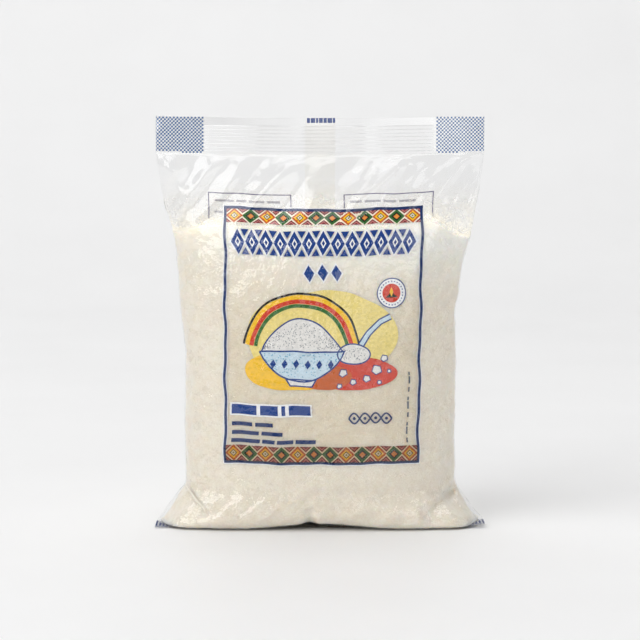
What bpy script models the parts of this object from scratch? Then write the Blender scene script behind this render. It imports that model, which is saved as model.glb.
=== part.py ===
"""A clear film bag filled with granulated sugar, standing on its flattened bottom.

The bag is one tube of film, 171 mm wide when it lies flat. A crimped seal closes its top, a second
seal is folded flat under its base, and a lapped seam runs up the back. Film and sugar are one solid.

Metres, +Z up. The printed front looks along -Y. The origin is on the floor, under the bag's centre.
"""

import math

import bmesh
import bpy
from mathutils import Vector

# Driving sizes
FLAT_WIDTH = 0.171  # of the film tube, laid flat
BAG_HEIGHT = 0.212
SEAL_HEIGHT = 0.0192
SEAL_THICKNESS = 0.0009
SEAL_SAG = 0.0010  # the top seal hangs this much lower at its middle
SEAL_BOW = 0.0050  # and stands this much further forward there
SEAM_WIDTH = 0.0155
SEAM_THICKNESS = 0.0005

# The base
BASE_RADIUS = 0.0085  # of the rounding between the front and the base
ARCH_LIFT = 0.0026  # of the front bottom edge off the floor, at its middle
ARCH_REACH = 0.042  # half the width of that arch
ARCH_DEPTHS = (0.008, 0.022)  # in front of the middle: where the arch starts, and where it is full
SEAL_FRONT = 0.0165  # of the folded bottom seal, in front of the middle
SEAL_CLEARANCE = 0.0003  # under the folded seal

# Crimps across the top seal
CRIMPS = 8
CRIMP_PITCH = 0.00185
CRIMP_RELIEF = 0.0004
PLAIN_STRIP = 0.0040  # the top seal's edge above the crimps

# How the rings are divided, and which heights the runs of rings end at
FRONT_STEPS = 44
BACK_STEPS = 14  # from each end to the seam
RUNS = ((0.0300, 7), (0.1400, 12), (0.1928, 8))  # height, rings up to it
BASE_SHARES = (0.25, 0.6, 0.85)  # sizes of the loops across the base

# Half widths by height above the floor: the corners spread on the floor, the sides draw in round the
# sugar, and the empty film above it widens again towards the flat seal.
SIDES = (
    # height, left, right
    (0.0000, 0.0835, 0.0835),
    (0.0020, 0.0825, 0.0825),
    (0.0065, 0.0790, 0.0790),
    (0.0120, 0.0748, 0.0745),
    (0.0185, 0.0712, 0.0712),
    (0.0340, 0.0710, 0.0709),
    (0.0630, 0.0706, 0.0705),
    (0.0860, 0.0700, 0.0711),
    (0.1150, 0.0731, 0.0710),
    (0.1262, 0.0738, 0.0722),
    (0.1396, 0.0746, 0.0757),
    (0.1528, 0.0768, 0.0785),
    (0.1661, 0.0800, 0.0812),
    (0.1800, 0.0833, 0.0838),
    (0.1928, 0.0855, 0.0855),
)
# Powers of x and y in the rings' outlines: 2, 2 is an ellipse. The footprint is nearly straight at the
# front, with pointed ends.
EARS_BELOW = 0.020
FOOTPRINT_POWERS = (8.0, 1.6)
BODY_POWERS = (2.1, 2.1)

# Creases where the bottom corners fold: (start x, z), (end x, z), half width, depth
FOLDS = (
    ((-0.070, 0.0185), (-0.058, 0.0065), 0.0032, 0.0018),
    ((0.071, 0.0180), (0.057, 0.0080), 0.0045, 0.0026),
)


def between(low, high, share):
    return low + (high - low) * share


def eased(share):
    """0 below 0, 1 above 1, and smooth in between."""
    share = min(max(share, 0.0), 1.0)
    return share * share * (3 - 2 * share)


def half_width(height, side):
    """The bag's half width on one side (1 is left, 2 is right), on a smooth curve through SIDES."""
    if height >= SIDES[-1][0]:
        return SIDES[-1][side]
    i = max(k for k in range(len(SIDES) - 1) if SIDES[k][0] <= height)
    slopes = [
        (SIDES[k + 1][side] - SIDES[k][side]) / (SIDES[k + 1][0] - SIDES[k][0])
        for k in range(len(SIDES) - 1)
    ]
    tangents = [slopes[0]] + [(a + b) / 2 for a, b in zip(slopes, slopes[1:])] + [slopes[-1]]
    span = SIDES[i + 1][0] - SIDES[i][0]
    t = (height - SIDES[i][0]) / span
    return (
        (2 * t**3 - 3 * t**2 + 1) * SIDES[i][side]
        + (t**3 - 2 * t**2 + t) * span * tangents[i]
        + (3 * t**2 - 2 * t**3) * SIDES[i + 1][side]
        + (t**3 - t**2) * span * tangents[i + 1]
    )


def ellipse_perimeter(a, b):
    """Ramanujan's formula."""
    h = ((a - b) / (a + b)) ** 2
    return math.pi * (a + b) * (1 + 3 * h / (10 + math.sqrt(4 - 3 * h)))


def full_half_depth(width):
    """The half depth that uses up the film's whole perimeter round a ring of this half width."""
    thin, thick = SEAL_THICKNESS / 2, width
    for _ in range(40):
        middle = (thin + thick) / 2
        if ellipse_perimeter(width, middle) < 2 * FLAT_WIDTH:
            thin = middle
        else:
            thick = middle
    return thin


def half_depth(height):
    """The bag's half depth: the film's perimeter sets it, apart from the rounding at the base."""
    waist = max(height, EARS_BELOW)
    width = (half_width(waist, 1) + half_width(waist, 2)) / 2
    depth = max(full_half_depth(width), SEAL_THICKNESS / 2)
    if height < BASE_RADIUS:
        rise = 1 - height / BASE_RADIUS
        depth -= BASE_RADIUS * (1 - math.sqrt(1 - rise * rise))
    return depth


def fold_depth(x, z):
    """How far the surface is pressed in by the corner folds at a point of the front or back view."""
    pressed = 0.0
    for start, end, width, depth in FOLDS:
        a, b, p = Vector(start), Vector(end), Vector((x, z))
        along = min(max((p - a).dot(b - a) / (b - a).length_squared, 0.0), 1.0)
        away = (p - a.lerp(b, along)).length / width
        pressed += depth * math.exp(-away * away)
    return pressed


def crimp_relief(height):
    """Half of what the crimped seal stands proud at this height: a zigzag of CRIMPS teeth."""
    lowest = BAG_HEIGHT - PLAIN_STRIP - CRIMPS * CRIMP_PITCH
    teeth = (height - lowest) / CRIMP_PITCH
    if not 0 < teeth < CRIMPS:
        return 0.0
    return CRIMP_RELIEF * (1 - abs(2 * (teeth % 1) - 1)) / 2


def ring_heights():
    """Rings at even angles of the base's rounding, then in RUNS, and at each crimp's root and crest."""
    turns = 5
    heights = [BASE_RADIUS * (1 - math.cos(math.pi / 2 * k / turns)) for k in range(turns + 1)]
    for top, steps in RUNS:
        low = heights[-1]
        heights += [between(low, top, (k + 1) / steps) for k in range(steps)]
    lowest = BAG_HEIGHT - PLAIN_STRIP - CRIMPS * CRIMP_PITCH
    heights += [lowest + CRIMP_PITCH * k / 2 for k in range(2 * CRIMPS + 1)]
    return heights + [BAG_HEIGHT]


def arch(x, y, z):
    """How far the front bottom edge is lifted at a point."""
    start, full = ARCH_DEPTHS
    fading = 1 - eased(z / (3 * BASE_RADIUS))
    return ARCH_LIFT * (1 - eased(abs(x) / ARCH_REACH)) * eased((-y - start) / (full - start)) * fading


def ring(height, share=1.0):
    """The bag's outline at one height, anticlockwise from its left end, or a smaller loop in it."""
    left, right = half_width(height, 1), half_width(height, 2)
    depth = half_depth(height) + crimp_relief(height)
    upright = eased(height / EARS_BELOW)
    x_power, y_power = (between(*powers, upright) for powers in zip(FOOTPRINT_POWERS, BODY_POWERS))
    sealed = eased((height - 0.150) / (BAG_HEIGHT - SEAL_HEIGHT - 0.150))

    def point(angle, extra=0.0):
        width = left if math.cos(angle) < 0 else right
        across = abs(math.cos(angle)) ** (2 / BODY_POWERS[0])
        x = math.copysign(width * across, math.cos(angle))
        y = math.copysign(depth * (1 - across**x_power) ** (1 / y_power), math.sin(angle))
        if sealed == 1.0:  # a flat strip with square ends
            y = math.copysign(depth, math.sin(angle) or 1)
        folded = fold_depth(x, height)
        y -= math.copysign(folded, y) if abs(y) > 2 * folded else 0
        middle = 1 - (x / width) ** 2
        x, y = x * share, (y + extra - SEAM_THICKNESS / 2 - SEAL_BOW * middle * sealed) * share
        return (x, y, height - SEAL_SAG * middle * sealed + arch(x, y, height))

    seam_right, seam_left = (
        math.acos((SEAM_WIDTH / 2 / width) ** (BODY_POWERS[0] / 2)) for width in (right, left)
    )
    seam_left = math.pi - seam_left
    front = [point(math.pi * (1 + k / FRONT_STEPS)) for k in range(FRONT_STEPS)]
    back_right = [point(seam_right * k / BACK_STEPS) for k in range(BACK_STEPS + 1)]
    seam = [point(angle, SEAM_THICKNESS) for angle in (seam_right, math.pi / 2, seam_left)]
    back_left = [point(between(seam_left, math.pi, k / BACK_STEPS)) for k in range(BACK_STEPS)]
    return front + back_right + seam + back_left


def plain_material(name, colour, roughness):
    material = bpy.data.materials.new(name)
    material.use_nodes = True
    shader = material.node_tree.nodes["Principled BSDF"]
    shader.inputs["Base Color"].default_value = (*colour, 1)
    shader.inputs["Roughness"].default_value = roughness
    return material


def loft(name, rings):
    """A closed mesh through rings of the same number of points."""
    mesh = bmesh.new()
    rows = [[mesh.verts.new(p) for p in points] for points in rings]
    for low, high in zip(rows, rows[1:]):
        for i, vertex in enumerate(low):
            after = (i + 1) % len(low)
            mesh.faces.new((vertex, low[after], high[after], high[i]))
    mesh.faces.new(reversed(rows[0]))
    mesh.faces.new(rows[-1])
    bmesh.ops.recalc_face_normals(mesh, faces=mesh.faces)
    data = bpy.data.meshes.new(name)
    mesh.to_mesh(data)
    mesh.free()
    data.shade_smooth()
    data.set_sharp_from_angle(angle=math.radians(40))
    placed = bpy.data.objects.new(name, data)
    bpy.context.scene.collection.objects.link(placed)
    return placed


def folded_seal():
    """The bottom seal, turned forward flat under the bag, where only its two ends show."""
    half = FLAT_WIDTH / 2 + 0.0005
    front, back = -SEAL_FRONT, SEAL_HEIGHT - SEAL_FRONT
    rings = [
        [(-half, front, z), (half, front, z), (half, back, z), (-half, back, z)]
        for z in (SEAL_CLEARANCE, SEAL_CLEARANCE + SEAL_THICKNESS)
    ]
    return loft("folded_seal_helper", rings)


def main():
    for old in list(bpy.data.objects):
        bpy.data.objects.remove(old)
    base = [ring(0, share) for share in BASE_SHARES]
    bag = loft("sugar_bag", base + [ring(height) for height in ring_heights()])
    bag.data.materials.append(plain_material("film_and_sugar", (0.80, 0.75, 0.66), 0.3))
    helper = folded_seal()
    helper.hide_render = True
    helper.display_type = "WIRE"
    union = bag.modifiers.new("folded seal", "BOOLEAN")
    union.operation = "UNION"
    union.object = helper


main()
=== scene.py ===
"""Looks of a clear film bag of granulated sugar, standing upright.

The film is a tube that follows the CAD bag's outline, with the wrinkles that slack film falls into. Its
top seal is crimped, its bottom seal lies folded under the bag, and a lapped seam runs up its back. The
print is on the film's inner side, in front of the sugar, and above the sugar the film is empty.

Metres, +Z up, the printed front towards -Y.
"""

import math

import bmesh
import bpy
import numpy as np
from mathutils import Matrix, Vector
from mathutils.bvhtree import BVHTree
from mathutils.geometry import tessellate_polygon


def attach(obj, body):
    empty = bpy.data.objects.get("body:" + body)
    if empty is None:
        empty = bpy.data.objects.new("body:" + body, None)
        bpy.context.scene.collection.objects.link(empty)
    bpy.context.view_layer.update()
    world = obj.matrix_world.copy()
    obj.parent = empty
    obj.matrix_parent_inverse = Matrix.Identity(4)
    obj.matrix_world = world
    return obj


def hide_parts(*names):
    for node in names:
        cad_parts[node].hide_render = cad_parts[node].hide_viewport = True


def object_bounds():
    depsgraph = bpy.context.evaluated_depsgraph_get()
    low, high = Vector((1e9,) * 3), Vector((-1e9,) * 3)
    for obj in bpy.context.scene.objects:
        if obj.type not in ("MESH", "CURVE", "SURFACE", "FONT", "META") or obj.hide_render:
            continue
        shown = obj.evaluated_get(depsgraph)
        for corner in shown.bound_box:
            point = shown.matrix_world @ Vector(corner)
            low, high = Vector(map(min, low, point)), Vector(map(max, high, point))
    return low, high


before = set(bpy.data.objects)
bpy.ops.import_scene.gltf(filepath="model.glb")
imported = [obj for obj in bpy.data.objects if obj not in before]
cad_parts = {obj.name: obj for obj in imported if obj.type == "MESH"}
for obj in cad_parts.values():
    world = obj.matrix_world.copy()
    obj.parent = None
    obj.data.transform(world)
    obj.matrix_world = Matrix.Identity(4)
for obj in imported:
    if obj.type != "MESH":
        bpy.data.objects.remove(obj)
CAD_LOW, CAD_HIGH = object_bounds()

MM = 0.001
NODE = "sugar_bag"

# The film's grid: columns run up the bag and are evenly spaced round it, from its left edge over the
# front to the right edge and back.
COLUMNS = 300
HALF = COLUMNS // 2
MIRROR = (-np.arange(COLUMNS)) % COLUMNS  # the column behind each
FRONT = (np.arange(COLUMNS) > 0) & (np.arange(COLUMNS) < HALF)
ROW_STEP = 1.25 * MM
LOWEST_ROW = 1.5 * MM
BASE_ROUNDING = 8.5 * MM
BASE_SHARES = (0, 0.2, 0.4, 0.6, 0.75, 0.85, 0.91, 0.96)  # rows across the base, from its fold out

# Seals and seam
SEAL_HEIGHT = 19.2 * MM
CRIMPS = 8
CRIMP_PITCH = 1.85 * MM
CRIMP_DEPTH = 0.65 * MM
CRIMP_ROWS = 7  # grid rows to a crimp
PLAIN_STRIP = 4.0 * MM
SEAL_GAP = 0.16 * MM
SEAL_SAG = 1.0 * MM
CRIMPED = ((-45, 17, 0.8), (1, 9, 0.6), (15, 7, 0.8), (45, 14, 0.35))  # x, half width, depth
LEFT_CORNER_BACK, RIGHT_CORNER_FORWARD = 1.6, 0.4  # how far the top seal's corners bend, in mm
SEAM_HALF = 7.75 * MM
FOLD_Y = -5.0 * MM  # where the bottom seal is folded forward
FOLDED_HALF_WIDTH = 85.6 * MM

# The ears: flat film from each side down to the folded seal's ends
EAR_TOP = 19.5 * MM
EAR_FOOT = 1.0 * MM
EAR_HALF_WIDTH = 85.3 * MM
SUGAR_FREE_TIP = 3.2 * MM
CURL_LIFT = 1.1 * MM

# The front bottom edge's arch, as in the CAD
ARCH_LIFT = 2.6 * MM
ARCH_REACH = 42 * MM
ARCH_START, ARCH_FULL = 8 * MM, 22 * MM
ARCH_FADE = 25.5 * MM
# A pinch in that edge
NOTCH_X = -5.5 * MM
NOTCH_HALF_WIDTH = 3.0 * MM
NOTCH_LIFT = 2.0 * MM
NOTCH_FADE = 9 * MM
NOTCH_START = 23 * MM  # in front of the middle
NOTCH_REACH = 8 * MM  # from there to where it is full

# The sugar
LEVEL = 156.5 * MM
FILM_TO_SUGAR = 0.42 * MM
SUGAR_GLOW = 4 * MM  # how far light spreads in it
LID_ROWS = 25  # of the sugar's top of free-lying grains, from its rim in
LID_GRAINS = 3000
CLINGING_GRAINS = 2600
DUST_GRAINS = 500
DUST_RISE = (146 * MM, 157 * MM)  # heights between which dust on the film thickens, and thins out again
DUST_FALL = (157 * MM, 178 * MM)
DUST_COVER = 0.7
DUST_COLOUR = (250, 247, 238)
FULL_FILM = (148 * MM, 158 * MM)  # heights between which the film stops lying on sugar
EVEN_SUGAR = 135 * MM  # from here up the sugar's clumps show less
PAINTED_LIGHT_COLOUR = (254, 251, 243)  # painted light: the lighter colour that the sugar is given near its top, where it stands in for light that falls there
PAINTED_LIGHT_RISE = (118 * MM, 152 * MM)  # heights between which it does
PAINTED_LIGHT_TO_RIGHT = (-70 * MM, 60 * MM)  # and x between which it does so more and more

# The print's layers, behind the film and in front of the sugar
FILM_TO_PRINT = 0.04 * MM  # to the outermost layer
PRINT_STEP = 0.022 * MM
SEAL_PRINT_STEP = 0.02 * MM
LAYERS = 8
PRINT_CUT = 1.6  # the print's faces are cut to this size, in mm, so that they follow the film

# The label and the printed ends of the seals, in mm
LABEL_LEFT, LABEL_RIGHT, LABEL_BOTTOM, LABEL_TOP = -48.6, 52.4, 35.8, 164.6
LABEL_TAPER = 0.022  # how much narrower the label is at its bottom
CHECK = 0.93
CHECK_SHARE = 0.98
CHECKED_WIDTH = 25.2
TOP_CHECKS_REACH, FOLDED_CHECKS_REACH = 85.2, 85.3  # from the middle out


def eased(share):
    """0 below 0, 1 above 1, and smooth in between."""
    share = np.clip(share, 0.0, 1.0)
    return share * share * (3 - 2 * share)


def ramp(value, start, length):
    """Rises smoothly from 0 at start to 1 this length further on."""
    return eased((value - start) / length)


def link(name, data):
    placed = bpy.data.objects.new(name, data)
    bpy.context.scene.collection.objects.link(placed)
    return placed


def meshed(name, places, faces, *materials, smooth=True):
    """An object with a mesh of these points and faces."""
    mesh = bpy.data.meshes.new(name)
    faces = faces.tolist() if isinstance(faces, np.ndarray) else faces
    mesh.from_pydata(np.asarray(places).tolist(), [], faces)
    for material in materials:
        mesh.materials.append(material)
    if smooth:
        mesh.shade_smooth()
    return link(name, mesh)


def piece(*values, **settings):
    """A visible piece of the part, which rides on the bag."""
    made = meshed(*values, **settings)
    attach(made, "root")
    return made


# ---- The film's shape ----


def arch(x, y, z):
    """How far the front bottom edge is lifted at a point."""
    depth = eased((-y - ARCH_START) / (ARCH_FULL - ARCH_START))
    return ARCH_LIFT * (1 - eased(abs(x) / ARCH_REACH)) * depth * (1 - eased(z / ARCH_FADE))


def notch(x, y, z):
    """How far a pinch in the front bottom edge is lifted at a point."""
    across = (x - NOTCH_X) / NOTCH_HALF_WIDTH
    depth = ramp(-y, NOTCH_START, NOTCH_REACH)
    return NOTCH_LIFT * np.exp(-across * across) * depth * (1 - eased(z / NOTCH_FADE))


class CadBag:
    """Level sections through the CAD bag, with its arch taken out."""

    def __init__(self):
        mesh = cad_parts[NODE].data
        mesh.calc_loop_triangles()
        places = np.empty(len(mesh.vertices) * 3)
        mesh.vertices.foreach_get("co", places)
        places = places.reshape(-1, 3)
        places[:, 2] -= arch(*places.T)
        corners = np.empty(len(mesh.loop_triangles) * 3, int)
        mesh.loop_triangles.foreach_get("vertices", corners)
        self.triangles = places[corners.reshape(-1, 3)]
        a, b, c = np.moveaxis(self.triangles, 1, 0)
        self.faces_front = np.cross(b - a, c - a)[:, 1] < 0

    def run(self, height, front):
        """The front or back run of the outline at this height, sorted by x."""
        above = self.triangles[:, :, 2] > height
        found = []
        for i, j in ((0, 1), (1, 2), (2, 0)):
            crossed = (above[:, i] != above[:, j]) & (self.faces_front == front)
            a, b = self.triangles[crossed, i], self.triangles[crossed, j]
            share = (height - a[:, 2]) / (b[:, 2] - a[:, 2])
            found.append((a + (b - a) * share[:, None])[:, :2])
        found = np.concatenate(found)
        if not front:  # the film lies straight under the seam's strip
            found = found[abs(found[:, 0]) > SEAM_HALF + 1.2 * MM]
        return found[np.argsort(found[:, 0])]

    def ring(self, height):
        """The outline at this height as one point for each column."""
        front, back = self.run(height, True), self.run(height, False)
        both = np.concatenate([front, back])
        left, right = both[both[:, 0].argmin()], both[both[:, 0].argmax()]
        runs = []
        for run, start, end in ((front, left, right), (back[::-1], right, left)):
            run = np.concatenate([[start], run, [end]])
            lengths = np.concatenate([[0], np.cumsum(np.linalg.norm(np.diff(run, axis=0), axis=1))])
            wanted = np.linspace(0, lengths[-1], HALF + 1)[:-1]
            runs.append(np.stack([np.interp(wanted, lengths, run[:, k]) for k in (0, 1)], axis=1))
        return np.concatenate(runs)


def smoothed(grid, rows=0, columns=0):
    """The grid after rounds of smoothing up and round it, with its first and last row kept."""
    grid = grid.copy()
    for _ in range(rows):
        grid[1:-1] += (grid[2:] + grid[:-2] - 2 * grid[1:-1]) / 4
    for _ in range(columns):
        grid += (np.roll(grid, 1, 1) + np.roll(grid, -1, 1) - 2 * grid) / 4
    return grid


def normals_of(grid):
    """Outward unit normals of a grid that closes round its columns."""
    across = np.roll(grid, -1, 1) - np.roll(grid, 1, 1)
    normals = np.cross(across, np.gradient(grid, axis=0))
    return normals / np.maximum(np.linalg.norm(normals, axis=2, keepdims=True), 1e-12)


def wavy_noise(shape, shortest, longest, seed):
    """Smooth noise of unit spread, made of waves between two lengths, in grid steps."""
    spectrum = np.fft.rfft2(np.random.default_rng(seed).standard_normal(shape))
    up = np.fft.fftfreq(shape[0])[:, None]
    across = np.fft.rfftfreq(shape[1])[None, :]
    pitch = 1 / np.maximum(np.hypot(up, across), 1e-6)
    spectrum[(pitch < shortest) | (pitch > longest)] = 0
    noise = np.fft.irfft2(spectrum, shape)
    return noise / noise.std()


# Folds of the empty film under the top seal, as ridges: x and z of both ends, half width, height, in mm
RIDGES = (
    (-48, 192, -63, 178, 3.0, 0.8), (-38, 192, -50, 172, 3.4, 0.7), (-8, 192, -34, 166, 4.0, 1.2),
    (42, 190, 14, 162, 4.0, 2.8), (26, 192, 18, 182, 2.6, 0.5), (74, 190, 52, 160, 3.8, 2.2),
    (-80, 190, -66, 168, 3.6, 1.2), (-72, 176, -76, 160, 3.2, 0.9),
)
# Creases of the bottom corners, the pinch and the sides, as valleys: the same values, pressed in
CREASES = (
    (-71, 20.0, -59, 9.0, 1.2, 3.0), (-69, 22.0, -57, 11.0, 1.2, -1.9), (-62, 15.5, -50, 11.0, 3.0, 0.4),
    (71, 19.0, 56, 10.5, 2.6, 2.5), (69, 23.0, 58, 15.5, 1.5, -0.4), (71, 19.5, 67, 15.0, 1.0, 1.8),
    (80, 4.0, 66, 12.0, 1.2, 0.7), (80, 3.0, 62, 4.5, 1.2, 0.6), (-6, 10.0, -6, 0.0, 2.2, 1.3),
    (0, 8.0, 0, 0.0, 2.6, -0.9), (-75, 118.0, -60, 108.0, 1.4, 0.35), (-73, 84.0, -61, 80.0, 1.6, 0.35),
    (72, 128.0, 56, 112.0, 1.8, 0.45), (70, 70.0, 55, 58.0, 1.6, 0.4),
)
CORNER_FOLD = (-70.3, 19.0), (-59.3, 9.0)  # the ends of a sharp fold, x and z
# Folds of the film alone, which stand off the sugar: the same values
PINCHES = ((60.0, 15.0, 67.5, 18.5, 1.0, 1.0),)
# Crumples: cell size in mm, depth in mm, how much the cells are stretched along a slope, seed
BODY_CRUMPLES = ((19, 0.30, 1.5, 11), (7, 0.11, 1.3, 12))
HEAD_CRUMPLES = ((21, 1.05, 2.4, 13), (8, 0.26, 1.6, 14))
EDGE_CRUMPLES = ((13, 0.60, 1.6, 15), (5, 0.20, 1.2, 16))
SLOPE = math.radians(58)
EDGE_SHARE = 0.05  # of the half width, over which the film's relief fades at its side edges
CREASED_HEIGHT = 28 * MM  # below this the CAD's sections keep their own creases
SAG_START, SAG_RISE = 150 * MM, 43 * MM  # the height from which the film sags with its seal


def line_relief(x, z, lines):
    """Height of ridges along straight lines in the front view, which thin out at their ends."""
    relief = np.zeros_like(x)
    for x0, z0, x1, z1, width, height in np.array(lines):
        dx, dz = (x1 - x0) * MM, (z1 - z0) * MM
        along = ((x - x0 * MM) * dx + (z - z0 * MM) * dz) / (dx * dx + dz * dz)
        away = ((x - x0 * MM) * dz - (z - z0 * MM) * dx) / math.hypot(dx, dz)
        ends = eased((along + 0.15) / 0.3) * eased((1.15 - along) / 0.4)
        relief += height * MM * np.exp(-((away / (width * MM)) ** 2)) * ends
    return relief


def out_shares(grid):
    """How far out each point is, as a share of its row's half width."""
    x = abs(grid[:, :, 0])
    return x / x.max(axis=1, keepdims=True)


def slack_of(grid):
    """How much longer the film is than the shape it lies on, for each point."""
    z = grid[:, :, 2]
    side = ramp(out_shares(grid), 0.55, 0.35)
    head = ramp(z, LEVEL, 12 * MM)
    foot = 1 - ramp(z, 12 * MM, 16 * MM)
    return 0.002 + 0.012 * side * (1 - head) + 0.006 * head + 0.008 * foot


ROUNDS = 60  # of the relaxation
PULL = 0.8  # share of each edge's error that a round takes out
EVENING = 0.06  # share of the film's shift that a round evens out
KEPT_SLIDE = 0.97  # share of the film's slide along its surface that a round keeps


def pulled(grid, a, b, rest, share):
    """Moves both ends of the edges between two slices of the grid towards their rest lengths."""
    apart = grid[b] - grid[a]
    length = np.linalg.norm(apart, axis=2, keepdims=True)
    move = apart * ((1 - rest / np.maximum(length, 1e-9)) * share / 2)
    grid[a] += move
    grid[b] -= move


def edge_groups(rows, columns):
    """Pairs of slices of the grid, whose edges share no point within a pair."""
    every = slice(None)
    beside = [(left, (left + 1) % columns) for left in (np.arange(k, columns, 2) for k in (0, 1))]
    groups = []
    for first in (0, 1):
        low, high = slice(first, rows - 1, 2), slice(first + 1, rows, 2)
        groups.append(((low, every), (high, every)))
        for left, right in beside:
            groups += [((low, left), (high, right)), ((low, right), (high, left))]
    return groups + [((every, left), (every, right)) for left, right in beside]


def facets(grid, crumples):
    """Relief of flat facets with sharp edges: the distance to the nearest of many scattered points."""
    around = 2 * abs(grid[:, 0, 0] - grid[:, HALF, 0]).mean()
    u = np.arange(COLUMNS)[None, :] / COLUMNS * around + 0 * grid[:, :, 2]
    v = grid[:, :, 2]
    side = np.where(np.arange(COLUMNS) < HALF, 1, -1)
    relief = np.zeros_like(v)
    for size, depth, stretch, seed in crumples:
        rng = np.random.default_rng(seed)
        tall = v.max() + 0.02
        count = int(around * tall / (size * MM) ** 2)
        nearest = np.full(v.shape, 1e9)
        for cu, cv in zip(rng.uniform(0, around, count), rng.uniform(-0.01, tall, count)):
            du, dv = (u - cu + around / 2) % around - around / 2, v - cv
            along = (du * math.cos(SLOPE) * side + dv * math.sin(SLOPE)) / stretch
            aside = (dv * math.cos(SLOPE) - du * math.sin(SLOPE) * side) * stretch**0.5
            nearest = np.minimum(nearest, along**2 + aside**2)
        distance = np.sqrt(nearest)
        relief += (distance - distance.mean()) / distance.std() * depth * MM
    return relief


def crumpled(shape):
    """The film's grid once its slack has buckled into wrinkles, near the shape that it starts from."""
    slack = slack_of(shape)
    normals = normals_of(shape)
    z, out = shape[:, :, 2], out_shares(shape)
    head = ramp(z, LEVEL, 10 * MM)
    foot = 1 - ramp(z, 12 * MM, 20 * MM)
    edge = np.maximum(ramp(out, 0.72, 0.25), foot) * (1 - head)
    relief = (
        facets(shape, BODY_CRUMPLES) * (1 - head) * (1 - 0.6 * edge)
        + facets(shape, HEAD_CRUMPLES) * head
        + facets(shape, EDGE_CRUMPLES) * edge
    )
    relief *= ramp(z, 1.5 * MM, 4 * MM) * eased((z.max() - z) / (7 * MM))
    relief *= 0.25 + 0.75 * eased((1 - out) / EDGE_SHARE)
    grid = shape + normals * relief[:, :, None]
    groups = []
    for a, b in edge_groups(*z.shape):
        rest = np.linalg.norm(grid[b] - grid[a], axis=2) * (1 + (slack[a] + slack[b]) / 2)
        groups.append((a, b, rest[:, :, None]))
    freedom = (0.6 + 1.2 * head)[:, :, None] * MM + abs(relief)[:, :, None]
    for _ in range(ROUNDS):
        for a, b, rest in groups:
            pulled(grid, a, b, rest, PULL)
        off = grid - shape
        off += EVENING * (smoothed(off, 1, 1) - off)
        outward = (off * normals).sum(axis=2, keepdims=True)
        held = np.clip(outward, -freedom, freedom)
        grid = shape + (off - outward * normals) * KEPT_SLIDE + held * normals
        grid[0], grid[-1] = shape[0], shape[-1]
    return grid


def body_grid(cad):
    """The film's rows from just above the floor to the top seal."""
    seal = CAD_HIGH.z - SEAL_HEIGHT
    heights = np.linspace(LOWEST_ROW, seal, round((seal - LOWEST_ROW) / ROW_STEP) + 1)
    grid = np.array([np.column_stack([cad.ring(h), np.full(COLUMNS, h)]) for h in heights])
    low = heights < CREASED_HEIGHT
    grid = np.concatenate([grid[low], smoothed(grid[~low], rows=24)])
    grid = smoothed(grid, rows=2, columns=3)
    x, z = grid[:, :, 0], grid[:, :, 2]
    creases = line_relief(x, z, CREASES)
    at_back = 0.8 * line_relief(-x, z, RIDGES) - 0.7 * creases
    inwards = np.where(FRONT, creases - line_relief(x, z, RIDGES), at_back)
    near_edge = eased((1 - out_shares(grid)) / EDGE_SHARE)
    near_seal = eased((seal - z) / (3 * MM))
    grid[:, :, 1] += inwards * near_edge * near_seal
    grid = crumpled(grid)
    x, y, z = np.moveaxis(grid, 2, 0)
    grid[:, :, 2] += arch(x, y, z) + notch(x, y, z)
    return grid


def base_rows(ring):
    """Rows across the base, from its fold line out to the body's lowest ring."""
    rows = []
    reach = abs(ring[:, 1] - FOLD_Y)
    edge = math.sqrt(BASE_ROUNDING**2 - (BASE_ROUNDING - LOWEST_ROW) ** 2)
    for share in BASE_SHARES:
        x = ring[:, 0] * (1 - 0.03 * (1 - share))
        y = FOLD_Y + (ring[:, 1] - FOLD_Y) * share
        past = np.clip(edge - (1 - share) * reach, 0, BASE_ROUNDING)
        z = BASE_ROUNDING - np.sqrt(BASE_ROUNDING**2 - past**2)
        from_fold = FOLD_Y - y
        before_end = eased((SEAL_HEIGHT + 2.5 * MM - from_fold) / (3 * MM))
        over_band = before_end * eased((from_fold + 3.3 * MM) / (3 * MM))
        z = np.maximum(z, 0.15 * MM + over_band * 1.0 * MM) + curl(x)
        z += arch(x, y, z) + notch(x, y, z)
        rows.append(np.column_stack([x, y, z]))
    return np.array(rows)


def crimp(height):
    """The crimped seal's relief at a height above the seal's lower edge."""
    teeth = (height - (SEAL_HEIGHT - PLAIN_STRIP - CRIMPS * CRIMP_PITCH)) / CRIMP_PITCH
    inside = (teeth > 0) & (teeth < CRIMPS)
    return np.where(inside, CRIMP_DEPTH * (0.5 - 0.5 * np.cos(2 * np.pi * teeth)), 0)


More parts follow.
